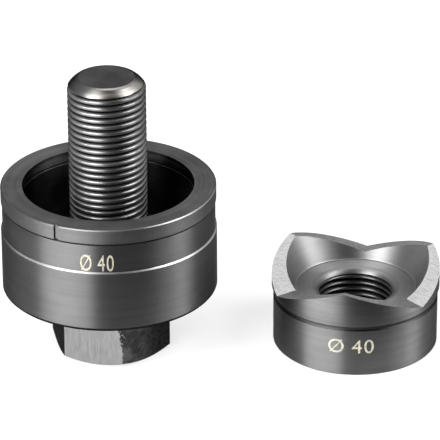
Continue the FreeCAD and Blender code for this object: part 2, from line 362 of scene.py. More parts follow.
def steel(name, tones, roughness, axis=BOLT_AXIS, lines=6.0, depth=0.002, across=0.85,
          warmth=0.0, cloud=0.5, brink=0.3):
    """A turned steel finish. Tones are its dark and light grey, roughness its lowest and highest
    value, lines the lines per millimetre, depth their depth in mm, across the anisotropy, cloud
    the share of clouds against bands, and brink the grey at a grazing view."""
    material, tree, look = new_material(name)
    centre = (-axis[0] * MM, -axis[1] * MM, 0)
    group = add(tree, "Group", {"Place": mapped(object_place(tree), "Location", centre),
                                "Lines per mm": lines, "Length": LINE_LENGTH},
                node_tree=TURNED_LINES)
    clouds, bands = spread(group["Clouds"], *FIRM), spread(group["Bands"], *WIDE)
    tone = weighted_sum(clouds, cloud, bands, 1 - cloud, clamp=True)
    dark, light = (grey(level, warmth) for level in tones)
    fill(look, {"Base Color": blend_colours(tone, dark, light), "Anisotropic": across,
                "Roughness": spread(group["Lines"], *WIDE, *roughness)})
    bare_metal(look, brink, group["Lines"], depth)
    if across:
        tangent = add(tree, "Tangent", {}, direction_type="RADIAL", axis="Z")[0]
        fill(look, {"Tangent": tangent, "Anisotropic Rotation": QUARTER_TURN})
    return material


def repaint(material, change):
    """Put a finish's colour through a change, and return the material."""
    socket = material.node_tree.nodes["Principled BSDF"].inputs["Base Color"]
    feed(socket, change(socket.links[0].from_socket))
    return material


# %% Steel with painted shade on one side
SIDE_SHADE_SCALE = 500.0
SIDE_SHADE_WANDER = 2.0  # mm by which the painted shade's edge moves in and out


def steel_with_painted_side_shade(name, tones, dark, middle, reach, warmth=0.0):
    """Steel painted dark on one side of the bolt's axis as shade, and left bare and bright on the
    other, where the light falls. With d the distance from the axis towards the bright side's
    middle, the steel turns from dark to bare as d goes from the first to the second reach, in mm,
    with a cloudy edge."""
    def paint_side_shade(bare):
        place = object_place(bare.id_data)
        x, y, z = split(place)
        turn = math.radians(middle)
        towards = weighted_sum(x, math.cos(turn), y, math.sin(turn))
        cloudy = times(noise(place, SIDE_SHADE_SCALE), SIDE_SHADE_WANDER * MM)
        share = spread(maths("ADD", towards, cloudy), reach[0] * MM, reach[1] * MM)
        return blend_colours(share, grey(dark), bare)

    return repaint(steel(name, tones, (0.3, 0.42), lines=4.0, depth=0.004, across=0.3,
                         warmth=warmth, cloud=0.35, brink=0.15), paint_side_shade)


# %% The die's finishes
die_finishes = {
    "wall": steel("die burnished wall", (0.085, 0.104), (0.4, 0.47), across=0.95),
    # The ledge and the rim's edge are worn bright steel, painted dark on one side as shade.
    "edge": steel_with_painted_side_shade("die bright edge with painted side shade", (0.22, 0.42), 0.13, -60, (-6, 9)),
    "rim edge": steel_with_painted_side_shade("die rim edge with painted side shade", (0.2, 0.4), 0.1, -25, (0, 14)),
    "band": steel("die band", (0.085, 0.12), (0.5, 0.6), across=0.7, cloud=0.7),
    # A painted shade line: the base chamfer and the groove under the band are painted dark as
    # shade.
    "line": steel("die painted shade line", (0.012, 0.02), (0.5, 0.6), across=0.0, brink=0.1),
    "rim": steel("die dull ground rim", (0.068, 0.118), (0.5, 0.6), lines=9.0, across=0.0),
    "land": steel("die ground land", (0.002, 0.05), (0.4, 0.6), cloud=0.4, brink=0.1),
    "cup": steel("die black cup", (0.008, 0.03), (0.5, 0.65), across=0.0, cloud=1.0, brink=0.1),
    "cup edge": steel("die cup edge", (0.05, 0.16), (0.35, 0.5), across=0.0),
}
print(len(die_finishes), "finishes on the die")

# %% [markdown]
# The die is a turned cup. Its outline runs up the outside, in over the rim, down the inside with
# its ground land and grinding groove, across the floor and out through the bolt's hole. The band
# round the rim has a setting notch, which breaks the round form. It is made in the grid: a few
# extra columns mark its sides, and the rows of the band are pressed in between them.

# %% The die's outline
DIE_BASE = die_low[2]
DIE_HEIGHT = die_high[2] - die_low[2]
DIE_LAND = CUTTING_EDGE + 0.2
ZONE_DEPTH = 0.35
DIE_ZONE = DIE_SIDE - ZONE_DEPTH
DIE_BAND = DIE_SIDE - 0.1
BAND_FOOT = DIE_HEIGHT - 3.55
LEDGE = 15.15
CUP_WALL = DIE_LAND + 0.15
CUP_FLOOR = 7.6
LAND_FOOT = DIE_HEIGHT - 2.6
GROOVE_FOOT = LAND_FOOT - 0.7
GROOVE = DIE_LAND + 0.4
BOLT_HOLE = BOLT_SHANK + 0.25
HOLE_CHAMFER = 1.05
BASE_CHAMFER = 0.45
# The dark line round the base and the one in the groove under the band are painted shade.
BASE_LINE = 0.8  # height of the dark line round the base
RIM_CHAMFER = 0.25
BAND_LINE = 0.5  # the fine turned line under the band
BAND_LINE_DEPTH = 0.12
BAND_LINE_SIDE = DIE_ZONE - BAND_LINE_DEPTH
BAND_LINE_FOOT = BAND_FOOT - BAND_LINE

die_points, die_row_finish = rounded([
    (BOLT_HOLE + HOLE_CHAMFER, 0, 0.1, "wall"),
    (DIE_SIDE - BASE_CHAMFER, 0, 0.1, "line"),
    (DIE_SIDE, BASE_CHAMFER, 0.2, "line"),
    (DIE_SIDE, BASE_LINE, 0.0, "wall"),
    (DIE_SIDE, LEDGE, 0.06, "edge"),
    (DIE_ZONE, LEDGE + ZONE_DEPTH, 0.06, "wall"),
    (DIE_ZONE, BAND_LINE_FOOT, 0.03, "line"),
    (BAND_LINE_SIDE, BAND_LINE_FOOT + BAND_LINE_DEPTH, 0.03, "line"),
    (BAND_LINE_SIDE, BAND_FOOT, 0.03, "line"),
    (DIE_BAND, BAND_FOOT, 0.03, "band"),
    (DIE_BAND, DIE_HEIGHT - RIM_CHAMFER, 0.1, "rim edge"),
    (DIE_BAND - RIM_CHAMFER, DIE_HEIGHT, 0.1, "rim"),
    (DIE_LAND, DIE_HEIGHT, 0.08, "land"),
    (DIE_LAND, LAND_FOOT, 0.05, "cup"),
    (GROOVE, LAND_FOOT, 0.05, "cup"),
    (GROOVE, GROOVE_FOOT, 0.05, "cup edge"),
    (CUP_WALL, GROOVE_FOOT, 0.12, "cup"),
    (CUP_WALL, CUP_FLOOR, 1.5, "cup"),
    (BOLT_HOLE + HOLE_CHAMFER, CUP_FLOOR, 0.1, "cup"),
    (BOLT_HOLE, CUP_FLOOR - HOLE_CHAMFER, 0.1, "cup"),
    (BOLT_HOLE, HOLE_CHAMFER, 0.1, "cup"),
], True)
print(len(die_points), "rows for the die")

# %% The die with its setting notch
DIE_COLUMNS = 288
NOTCH_FLOOR = DIE_SIDE - 0.6
NOTCH_MIDDLE = math.radians(-90 - 28)
NOTCH_HALF = 0.6 / DIE_SIDE
NOTCH_SLOPE = 0.3 / DIE_SIDE  # the right side leans, the left side stands upright
NOTCH_EDGE = 0.02 / DIE_SIDE
NOTCH_KEEP = 0.1


def die_grid():
    """Radius and height of the die. In the notch, the band's rows move in to the notch's floor, and
    keep a tenth of their own radius differences so that no two rows fall together."""
    left, right = NOTCH_MIDDLE - NOTCH_HALF, NOTCH_MIDDLE + NOTCH_HALF
    marks = [left, left + NOTCH_EDGE, NOTCH_MIDDLE, right - NOTCH_SLOPE, right]
    even = full_turn(DIE_COLUMNS, -180.0)
    clear = (even < left - NOTCH_SLOPE) | (even > right + NOTCH_SLOPE)
    angles = np.sort(np.concatenate([even[clear], marks]))
    pressed = np.interp(angles, marks, [0, 1, 1, 1, 0])
    radius, height = all_round(die_points, angles)
    in_band = (height > BAND_FOOT - 0.01) & (radius > NOTCH_FLOOR)
    floor = NOTCH_FLOOR - (DIE_BAND - radius) * NOTCH_KEEP
    radius = np.where(in_band, radius + (floor - radius) * pressed, radius)
    return angles, radius, height + DIE_BASE


die = skin("die_surface", BOLT_AXIS, *die_grid(), die_row_finish, die_finishes, True)
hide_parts("die")
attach(die, "die")

# %% [markdown]
# A screw thread is one groove wound round the bolt. At any point of the surface, its phase is
# height / pitch minus angle / full turn: follow the groove once round, and it has climbed by one
# pitch. The depth is a function of the phase alone. The bolt's rolled thread has wide round crests
# and narrow roots, and the thread tapped in the punch has both about equal. The depth is also
# stored on the surface, where the finish reads how far to darken the roots with painted shade and
# dirt.

# %% The thread's form
BOLT_POWER = 2.8  # above 1 it widens the crests and narrows the roots
PUNCH_POWER = 1.25
ROWS_PER_PITCH = 14


def thread_groove(angles, height, power, lift=0.0):
    """Depth of the groove, 0 at the crest and 1 at the root: half of (1 + cos(phase)), raised to a
    power. Lift moves the whole groove along the axis."""
    phase = (height - lift) / THREAD_PITCH - angles / (2 * np.pi)
    return (0.5 + 0.5 * np.cos(2 * np.pi * phase)) ** power


def store_depth(piece, depth):
    """Keep the groove's depth at every point, for the finish to read."""
    values = np.zeros(len(piece.data.vertices), np.float32)
    values[:depth.size] = depth.ravel()
    piece.data.attributes.new("groove", "FLOAT", "POINT").data.foreach_set("value", values)


one_pitch = np.linspace(0, THREAD_PITCH, 9)
print("the bolt's groove over one pitch:", thread_groove(0.0, one_pitch, BOLT_POWER).round(2))

# %% [markdown]
# The head is made from drawn hexagon bar, whose fine grain stands upright here. One flat has been
# rubbed bright by the spanner, and the others still carry their black oxide, whose near black is
# also painted shade. Where the two meet, the oxide ends in a ragged edge that is broader towards
# the top. The mask for that is the distance round the head, moved in and out by noise.

# %% Where the head's flats are bright, and how black the rest is, as oxide and painted shade
BRIGHT_FLAT = math.radians(-107.8)
HEAD_RADIUS = 15.0  # mm, turns an angle into a distance round the head
HALF_FLAT = HEAD_RADIUS * math.pi / 6
EDGE_BLUR = 0.1  # mm
RAGGED_SCALE, OXIDE_SCALE, BLOTCH_SCALE, FLECK_SCALE = 700.0, 1500.0, 260.0, 1900.0


def bright_share(place):
    """The distance d round the head from the bright flat's middle, and where that flat is bare: |d|
    under half a flat, less a ragged share that grows with height on the right side."""
    x, y, z = split(mapped(place, "Rotation", (0, 0, -BRIGHT_FLAT)))
    distance = times(maths("ARCTAN2", y, x), HEAD_RADIUS)
    climb = spread(z, 4 * MM, 12.5 * MM, 0.5, 1.9)
    ragged = spread(noise(place, RAGGED_SCALE), *FIRM, 0.45, 1.0)
    bitten = maths("ADD", distance, times(climb, ragged))
    right = spread(bitten, HALF_FLAT - EDGE_BLUR, HALF_FLAT + EDGE_BLUR, 1.0, 0.0)
    left = spread(distance, -HALF_FLAT - EDGE_BLUR, -HALF_FLAT + EDGE_BLUR)
    return distance, times(left, right)


def oxide_and_painted_shade(place, distance):
    """The grey of the other flats, black oxide and painted shade in one: nearly black, blotchy and
    thin on the flat right of the bright one, with pale flecks close to the corner between them."""
    thin = times(spread(distance, HALF_FLAT, HALF_FLAT + 13.0, 1.0, 0.0),
                 spread(distance, HALF_FLAT - 0.4, HALF_FLAT + EDGE_BLUR))
    blotch = spread(noise(place, BLOTCH_SCALE, 5.0), 0.36, 0.6, 0.3, 1.0)
    mottle = spread(noise(place, OXIDE_SCALE, 4.0), *FIRM)
    colour = blend_colours(mottle, grey(0.01), grey(0.026))
    colour = blend_colours(times(thin, blotch), colour, grey(0.09))
    from_corner = maths("ABSOLUTE", maths("SUBTRACT", distance, HALF_FLAT))
    flecks = times(spread(from_corner, 0.5, 1.8, 1.0, 0.0),
                   spread(noise(place, FLECK_SCALE, 4.0), 0.56, 0.64))
    return blend_colours(flecks, colour, grey(0.15))


# %% The finish of the head's flats
ALONG_BAR = 0.12  # how much slower the grain changes along the bar
GRAIN_SCALE, STREAK_SCALE = 3500.0, 700.0


def drawn_flats():
    """Bright drawn steel on one flat, and round the rest black oxide that is also painted shade.
    The grain is noise that changes fast round the head and slowly along it."""
    material, tree, look = new_material("drawn head flats with painted shade")
    place = object_place(tree)
    squeezed = mapped(place, "Scale", (1.0, 1.0, ALONG_BAR))
    grain = noise(squeezed, GRAIN_SCALE, 2.0)
    streaks = spread(noise(squeezed, STREAK_SCALE), 0.2, 0.8)
    bare = blend_colours(streaks, grey(0.2), grey(0.218))
    bare = blend_colours(spread(grain, *FIRM, 0.0, 0.25), bare, grey(0.31))
    distance, bright = bright_share(place)
    # The flats other than the bright one are painted dark: oxide, and shade.
    colour = blend_colours(bright, oxide_and_painted_shade(place, distance), bare)
    fill(look, {"Base Color": colour, "Roughness": spread(grain, *WIDE, 0.4, 0.55)})
    bare_metal(look, 0.3, grain, 0.004)
    return material


# %% The finishes of the bolt
NICK_SCALE = 2600.0


def thread_steel(name, axis, flank, root, roughness):
    """Turned steel that follows the stored depth of the groove: the flanks are clean, the crests
    carry a few tiny bright nicks, and the roots are darkened with painted shade and dirt."""
    def shade_and_soil(clean):
        tree = clean.id_data
        depth = stored_value(tree, "groove", "Fac")
        spots = spread(noise(object_place(tree), NICK_SCALE, 4.0), 0.66, 0.72)
        nicks = times(spots, spread(depth, 0.05, 0.3, 1.0, 0.0))
        nicked = blend_colours(nicks, clean, grey(0.5))
        # The roots' near black is painted shade, with dirt.
        return blend_colours(spread(depth, 0.5, 0.95), nicked, grey(root))

    return repaint(steel(name, (flank * 0.6, flank), roughness, axis, lines=4.0, across=0.4,
                         cloud=0.7, brink=0.05), shade_and_soil)


bolt_finishes = {
    "foot": steel("head underside", (0.12, 0.2), (0.35, 0.5)),
    "head": drawn_flats(),
    "shank": steel("plain shank", (0.05, 0.1), (0.3, 0.4)),
    "thread": thread_steel("rolled thread", BOLT_AXIS, 0.225, 0.004, (0.32, 0.44)),
    # The shoulder is painted dark on its back and left as shade, bright on its front right.
    "shoulder": steel_with_painted_side_shade("end shoulder with painted side shade", (0.14, 0.42), 0.08, -62, (4.2, 7.4), warmth=0.05),
    "end": steel("bolt end", (0.052, 0.075), (0.48, 0.55), lines=3.0, depth=0.0005, across=0.0,
                 cloud=1.0),
}

# %% [markdown]
# The bolt's head is a hexagon with a 30 degree chamfer turned on its lower side. In the grid, each
# column asks how far out the hexagon's side is at its angle. The chamfer is a cone, which each
# column follows outwards until it meets the side, so the curved edge on every flat comes out by
# itself. The corners are a little round, and a few extra columns carry each arc.

# %% The hexagon
HALF_WIDTH = 26.0 / 2  # from the axis to a flat
HEAD_TURN = -17.8  # degrees from +X to a corner
CORNER_RADIUS = 0.35
CHAMFER_INNER = HALF_WIDTH - 0.1
CHAMFER_SLOPE = math.tan(math.radians(30))
CORNER_CENTRE = (HALF_WIDTH - CORNER_RADIUS) / math.cos(math.pi / 6)
CORNER_REACH = math.asin(CORNER_RADIUS * math.sin(math.pi / 6) / CORNER_CENTRE)


def hexagon(angles):
    """Distance from the axis to the head's side. Beside a corner it is c cos(a) +
    sqrt(r^2 - (c sin(a))^2), with a the angle from the corner, c the arc centre's distance and r
    its radius. Elsewhere it is half the width / cos(angle from the flat's middle)."""
    from_corner = (angles - math.radians(HEAD_TURN) + np.pi / 6) % (np.pi / 3) - np.pi / 6
    flat = HALF_WIDTH / np.cos(np.pi / 6 - np.abs(from_corner))
    sideways = CORNER_CENTRE * np.sin(from_corner)
    outwards = np.sqrt(np.clip(CORNER_RADIUS ** 2 - sideways ** 2, 0, None))
    arc = CORNER_CENTRE * np.cos(from_corner) + outwards
    return np.where(np.abs(from_corner) < CORNER_REACH, arc, flat)


corners = math.radians(HEAD_TURN) + np.arange(6)[:, None] * np.pi / 3
corner_columns = corners + np.linspace(-1, 1, 5) * CORNER_REACH
even_columns = full_turn(144, HEAD_TURN + 1.25)
bolt_angles = np.sort(np.concatenate([even_columns, corner_columns.ravel()]) % (2 * np.pi))
print(f"widest over the corners: {2 * hexagon(bolt_angles).max():.2f} mm")

# %% The rows of the head
HEAD_TOP = die_low[2]
NEAR = 0.05  # rows this near an edge keep it crisp
HOLD_ROW = 0.15  # and rows this near keep the face beyond it flat


def head_rows(side):
    """Radius and height of the head's rows: the underside, the chamfer out to each column's side,
    the flats and the top edge."""
    chamfer_top = (side - CHAMFER_INNER) * CHAMFER_SLOPE
    rows = [
        (3.0, 0), (CHAMFER_INNER - HOLD_ROW, 0), (CHAMFER_INNER, 0.02), (side - NEAR, chamfer_top),
        (side, chamfer_top + NEAR), (side, chamfer_top + HOLD_ROW), (side, 8.0),
        (side, HEAD_TOP - 0.6), (side - 0.1, HEAD_TOP - 0.5),
    ]
    grid = np.stack([np.broadcast_arrays(*row, side)[:2] for row in rows], axis=1)
    return grid, ["foot"] * 2 + ["head"] * 6 + ["foot"]


# %% The blank that the thread is rolled into
BEARING_FACE = HALF_WIDTH - 0.5
THREAD_START = HEAD_TOP + 9.5
BLANK_START = THREAD_START + 0.4
BLANK_END = BOLT_END - 0.02
SHOULDER = BOLT_END - 1.9
END_CHAMFER = 2.2


def blank_rows():
    """The turned outline from the bearing face to the bolt's end, with even rows for the thread."""
    points, names = rounded([
        (BEARING_FACE, HEAD_TOP - 0.5, 0.05, "foot"),
        (BEARING_FACE, HEAD_TOP, 0.05, "foot"),
        (BOLT_SHANK, HEAD_TOP, 0.8, "shank"),
        (BOLT_SHANK, THREAD_START, 0.05, "shank"),
        (BOLT_CREST, THREAD_START + BOLT_SHANK - BOLT_CREST, 0.05, "thread"),
        (BOLT_CREST, BOLT_END - END_CHAMFER, 3.0, "thread"),
        (BOLT_CREST - 0.9, BOLT_END - 1.05, 3.0, "thread"),
        (BOLT_CREST - END_CHAMFER, BOLT_END, 2.0, "end"),
        (1.0, BOLT_END, 0.0, "end"),
    ], False)
    names = np.array(names)
    low = points[:, 1] < BLANK_START - NEAR
    high = points[:, 1] > BLANK_END
    upright = ~high & (points[:, 1] > THREAD_START)
    levels = np.arange(BLANK_START, BLANK_END, THREAD_PITCH / ROWS_PER_PITCH)
    blank = np.interp(levels, points[upright, 1], points[upright, 0])
    middle_names = np.where(levels > SHOULDER, "shoulder", "thread")
    rows = np.concatenate([points[low], np.stack([blank, levels], axis=1), points[high]])
    return rows, np.concatenate([names[low], middle_names, names[high]]).tolist()


# %% The bolt from foot to end
THREAD_FADE = 0.3  # mm over which the thread ends at the bolt's end


def bolt_grid():
    """The head's rows and the blank's, with the thread cut in wherever its groove lies deeper than
    the blank itself."""
    head, head_names = head_rows(hexagon(bolt_angles))
    blank, blank_names = blank_rows()
    radius, height = np.concatenate([head, all_round(blank, bolt_angles)], axis=1)
    start = np.clip((height - BLANK_START) / THREAD_PITCH, 0, 1)
    stop = np.clip((BOLT_END - THREAD_FADE - height) / THREAD_FADE, 0, 1)
    groove = thread_groove(bolt_angles, height, BOLT_POWER) * start * stop
    cut = BOLT_CREST - THREAD_DEPTH * groove
    cuts = (height > BLANK_START) & (height < BLANK_END) & (cut < radius)
    return np.where(cuts, cut, radius), height, head_names + blank_names, np.where(cuts, groove, 0)


*bolt_rows, bolt_groove = bolt_grid()
bolt = skin("bolt_surface", BOLT_AXIS, bolt_angles, *bolt_rows, bolt_finishes, False)
store_depth(bolt, bolt_groove)
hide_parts("draw_bolt")
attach(bolt, "draw_bolt")

# %% [markdown]
# The punch is the piece that takes skill. Its blank is a turned bowl. Three V-shaped valleys are
# ground outwards across it, and where two valleys meet, a cutting point is left. On the grid,
# every column knows its angle from the nearest valley. There the ground face is a plane, with a
# known height at each radius, and the bowl is a cone. They meet at the ground face's inner edge,
# and setting the two heights equal gives its radius. The wavy crown follows from that.

# %% The punch's ground crown
VALLEY = 14.75  # height of the cutting edge in its valleys
VALLEY_TURN = 48.8 - 90
TILT_SLOPE = math.tan(math.radians(8.5))
FACE_SLOPE = math.tan(math.radians(17.26)) / math.cos(math.radians(8.5))
BOWL_FLOOR = VALLEY - 0.9
BOWL_SLOPE = 1 / math.tan(math.radians(27.9))
POINT_WIDTH = 1.45  # of the ground face at a cutting point


def from_valley(angles):
    """The angle from the nearest valley, at most 60 degrees either way."""
    third = 2 * np.pi / 3
    return (angles - math.radians(VALLEY_TURN) + third / 2) % third - third / 2


def ground_height(radius, angles):
    """Height of the ground face: valley + (edge - r cos a) * tilt + r |sin a| * face slope, with a
    the angle from the valley."""
    a = from_valley(angles)
    lean = (CUTTING_EDGE - radius * np.cos(a)) * TILT_SLOPE
    return VALLEY + lean + radius * np.abs(np.sin(a)) * FACE_SLOPE


def inner_edge(angles):
    """Radius where the ground face meets the bowl's cone, of height floor + (r - foot) * slope."""
    a = from_valley(angles)
    constant = VALLEY + CUTTING_EDGE * TILT_SLOPE - BOWL_FLOOR + BOWL_FOOT * BOWL_SLOPE
    per_radius = np.cos(a) * TILT_SLOPE - np.abs(np.sin(a)) * FACE_SLOPE
    return constant / (BOWL_SLOPE + per_radius)


POINT = float(ground_height(CUTTING_EDGE, math.radians(VALLEY_TURN + 60)))
BOWL_FOOT = CUTTING_EDGE - POINT_WIDTH - (POINT - BOWL_FLOOR) / BOWL_SLOPE
print(f"points at {POINT:.2f} mm, bowl's foot at radius {BOWL_FOOT:.2f} mm")

# %% [markdown]
# The wheel that grinds a valley leaves straight scratches along it. Each point of the mesh stores
# its place in its own valley: how far along it, how far across it and how high. The finish
# squeezes noise along the valley, so the scratches run the right way on all six faces.

# %% The finish of the ground faces
ALONG_VALLEY = 0.08  # how much slower the scratches change along the valley
SCRATCH_SCALE, PORE_SCALE = 4000.0, 3800.0


def store_valley(piece, angles, radius, height):
    """Keep (r cos a, r sin a, height) at every point, with a the angle from the nearest valley."""
    grid = round_axis((0, 0), radius, from_valley(angles), height) * MM
    stored = piece.data.attributes.new("valley", "FLOAT_VECTOR", "POINT")
    stored.data.foreach_set("vector", grid.astype(np.float32).ravel())


def ground_steel():
    """Ground steel: noise that changes fast across the valley and slowly along it, mixed half and
    half with an even grain."""
    material, tree, look = new_material("punch ground face")
    stored = stored_value(tree, "valley", "Vector")
    squeezed = mapped(stored, "Scale", (ALONG_VALLEY, 1.0, 1.0))
    scratches = noise(squeezed, SCRATCH_SCALE)
    both = weighted_sum(scratches, 0.5, noise(stored, PORE_SCALE, 3.0, 0.7), 0.5)
    colour = blend_colours(spread(both, 0.36, 0.64), grey(0.17), grey(0.36))
    fill(look, {"Base Color": colour, "Roughness": spread(both, *WIDE, 0.34, 0.48)})
    bare_metal(look, 0.4, scratches, 0.004)
    return material


# %% The finishes of the punch
punch_finishes = {
    "body": steel("punch burnished body", (0.1, 0.125), (0.36, 0.43), PUNCH_AXIS, across=0.95),
    "groove": steel("punch dark groove", (0.04, 0.055), (0.4, 0.5), PUNCH_AXIS),
    "flare": steel("punch brushed flare", (0.095, 0.13), (0.44, 0.52), PUNCH_AXIS, lines=9.0,
                   across=0.95, cloud=0.35),
    "ground": ground_steel(),
    "bowl": steel("punch bowl wall", (0.215, 0.25), (0.5, 0.55), PUNCH_AXIS),
    "floor": steel("punch bowl floor", (0.22, 0.25), (0.4, 0.46), PUNCH_AXIS),
    "line": steel("punch bright line", (0.15, 0.3), (0.3, 0.4), PUNCH_AXIS, across=0.0),
    "shoulder": steel("punch hole shoulder", (0.15, 0.2), (0.4, 0.5), PUNCH_AXIS, across=0.6),
    "thread": thread_steel("punch thread", PUNCH_AXIS, 0.1, 0.003, (0.26, 0.38)),
}

# %% The punch's turned outlines
BODY_SIDE = CUTTING_EDGE - 0.4
GROOVE_SIDE = BODY_SIDE - 0.3
NECK_SIDE = CUTTING_EDGE - 0.5
FLARE_TOP = 14.7
HOLE_CHAMFER_TOP = 1.0
MOUTH_RADIUS = 1.9
NEAR_FOOT = BOWL_FOOT + 0.4


def cone_height(radius):
    """Height of the bowl's cone: floor + (r - foot) * slope."""
    return BOWL_FLOOR + (radius - BOWL_FOOT) * BOWL_SLOPE


outside_points, outside_finish = rounded([
    (PUNCH_CREST + HOLE_CHAMFER_TOP, 0, 0.1, "body"),
    (BODY_SIDE - 0.4, 0, 0.15, "body"),
    (BODY_SIDE, 0.4, 0.15, "body"),
    (BODY_SIDE, 11.9, 0.08, "groove"),
    (GROOVE_SIDE, 12.2, 0.12, "groove"),
    (GROOVE_SIDE, 12.7, 0.12, "groove"),
    (NECK_SIDE, 13.0, 0.1, "flare"),
    (CUTTING_EDGE, FLARE_TOP, 0.0, "flare"),
], False)
floor_points, floor_finish = rounded([
    (NEAR_FOOT, cone_height(NEAR_FOOT), 0.0, "bowl"),
    (BOWL_FOOT, BOWL_FLOOR, 0.6, "line"),
    (BOWL_FOOT - 0.45, BOWL_FLOOR, 0.05, "floor"),
    (PUNCH_CREST + MOUTH_RADIUS + 0.02, BOWL_FLOOR, 0.0, "floor"),
], False)
print(len(outside_points) + len(floor_points), "rows from the turned outlines")

# %% The rows of the hole
MOUTH_ROWS = 26
SMOOTH_ROWS = 20  # rows of the hole's mouth above its first thread
PUNCH_LIFT = -0.42
MOUTH_FADE = 0.2  # mm over which the thread ends in the mouth


def hole_rows():
    """The rounded mouth of the hole, a quarter circle, and the straight wall under it."""
    turn = np.linspace(0, np.pi / 2, MOUTH_ROWS)
    mouth = np.stack([PUNCH_CREST + MOUTH_RADIUS * (1 - np.sin(turn)),
                      BOWL_FLOOR - MOUTH_RADIUS * (1 - np.cos(turn))], axis=1)
    levels = np.arange(mouth[-1, 1], HOLE_CHAMFER_TOP, -THREAD_PITCH / ROWS_PER_PITCH)[1:]
    wall = np.stack([np.full_like(levels, PUNCH_CREST), levels], axis=1)
    rows = np.concatenate([mouth, wall])
    return rows, ["shoulder"] * SMOOTH_ROWS + ["thread"] * (len(rows) - SMOOTH_ROWS)


# %% The rows of the crown
def crown_rows(angles):
    """Rows whose height changes round the axis: the upright side up to the cutting edge, the ground
    face in to its inner edge, and the bowl's cone down to its foot. A share of 0 is a block's start
    and 1 its end."""
    inner = inner_edge(angles)
    rise = ground_height(CUTTING_EDGE, angles) - FLARE_TOP
    side_height = FLARE_TOP + rise * np.array([[0.4], [0.98]])
    side = np.stack([np.full_like(side_height, CUTTING_EDGE), side_height])
    land_share = np.array([0.0, 0.02, 0.35, 0.7, 0.98])[:, None]
    land_radius = CUTTING_EDGE + (inner - CUTTING_EDGE) * land_share
    land = np.stack([land_radius, ground_height(land_radius, angles)])
    cone_share = np.array([0.0, 0.03, 0.35, 0.7, 0.97])[:, None]
    cone_radius = inner + (NEAR_FOOT - inner) * cone_share
    cone = np.stack([cone_radius, cone_height(cone_radius)])
    names = ["flare"] * 2 + ["ground"] * 5 + ["bowl"] * 5
    return np.concatenate([side, land, cone], axis=1), names


# %% The punch as one closed surface
def punch_grid(angles):
    """Stack the blocks of rows, then cut the thread outwards into the hole wherever its groove is
    wider than the blank there."""
    hole, hole_names = hole_rows()
    crown, crown_names = crown_rows(angles)
    outside, floor, blank = (all_round(rows, angles)
                             for rows in (outside_points, floor_points, hole))
    radius, height = np.concatenate([outside, crown, floor, blank], axis=1)
    wall, level = blank
    groove = thread_groove(angles, level, PUNCH_POWER, PUNCH_LIFT)
    groove *= np.clip((level - HOLE_CHAMFER_TOP) / THREAD_PITCH, 0, 1)
    groove *= np.clip((hole[SMOOTH_ROWS, 1] - level) / MOUTH_FADE + 1, 0, 1)
    cut = PUNCH_CREST + THREAD_DEPTH * groove
    deep = np.zeros_like(radius)
    deep[-len(hole):] = np.clip((cut - wall) / THREAD_DEPTH, 0, 1)
    radius[-len(hole):] = np.maximum(wall, cut)
    return radius, height, outside_finish + crown_names + floor_finish + hole_names, deep


punch_angles = full_turn(240, VALLEY_TURN)
*punch_rows, punch_groove = punch_grid(punch_angles)
punch = skin("punch_surface", PUNCH_AXIS, punch_angles, *punch_rows, punch_finishes, True)
store_depth(punch, punch_groove)
store_valley(punch, punch_angles, *punch_rows[:2])
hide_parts("punch")
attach(punch, "draw_bolt")

# %% [markdown]
# Both working pieces carry a plain size number in cream paint. Lettering starts as Blender text,
# which gives the shapes of the characters. A flat letter would cut through a round wall, so the
# text becomes a mesh, narrow strips are cut through it, and each point is then wrapped: its
# distance along the line of text becomes an angle round the wall.

# %% Flat letters, cut into strips
STRIP = 0.25
SAME_POINT = 0.001
SLIVER = 0.002  # points this near each other after the cuts are one


def points_of(mesh):
    """The mesh's points, one row each."""
    flat = np.empty(len(mesh.vertices) * 3)
    mesh.vertices.foreach_get("co", flat)
    return flat.reshape(-1, 3)


def letters(name, words, letter_height, squeeze):
    """A flat mesh of a text in millimetres, centred on x = 0 and standing on y = 0. Squeeze narrows
    the letters."""
    curve = bpy.data.curves.new(name, "FONT")
    curve.body = words
    curve.align_x = "CENTER"
    curve.space_character = 1.12
    curve.space_word = 0.75
    text = put_in_scene(name, curve)
    bpy.context.view_layer.update()
    mesh = bpy.data.meshes.new_from_object(text)
    bpy.data.objects.remove(text)
    flat = points_of(mesh)
    scale = letter_height / np.ptp(flat[:, 1])
    flat *= [scale * squeeze, scale, scale]
    flat[:, 1] -= flat[:, 1].min()
    flat[:, 0] -= (flat[:, 0].min() + flat[:, 0].max()) / 2
    mesh.vertices.foreach_set("co", flat.ravel())
    cutter = bmesh.new()
    cutter.from_mesh(mesh)
    bmesh.ops.remove_doubles(cutter, verts=cutter.verts, dist=SAME_POINT)
    for place in np.arange(flat[:, 0].min(), flat[:, 0].max(), STRIP):
        everything = cutter.verts[:] + cutter.edges[:] + cutter.faces[:]
        bmesh.ops.bisect_plane(cutter, geom=everything, plane_co=(place, 0, 0), plane_no=(1, 0, 0))
    bmesh.ops.remove_doubles(cutter, verts=cutter.verts, dist=SLIVER)
    bmesh.ops.triangulate(cutter, faces=cutter.faces)
    cutter.to_mesh(mesh)
    cutter.free()
    return mesh


# %% Painted size marks
PAINT = 0.02  # how far the paint stands off the wall
WEAR_SCALE = 900.0


def cream_paint():
    """Cream paint, thin and a little worn, so that the steel's sheen shows through its colour."""
    material, tree, look = new_material("cream paint")
    wear = spread(noise(object_place(tree), WEAR_SCALE), 0.3, 0.6)
    colour = blend_colours(wear, (0.32, 0.3, 0.235, 1), (0.54, 0.51, 0.41, 1))
    fill(look, {"Base Color": colour, "Roughness": 0.45, "Metallic": 0.6})
    return material


CREAM = cream_paint()


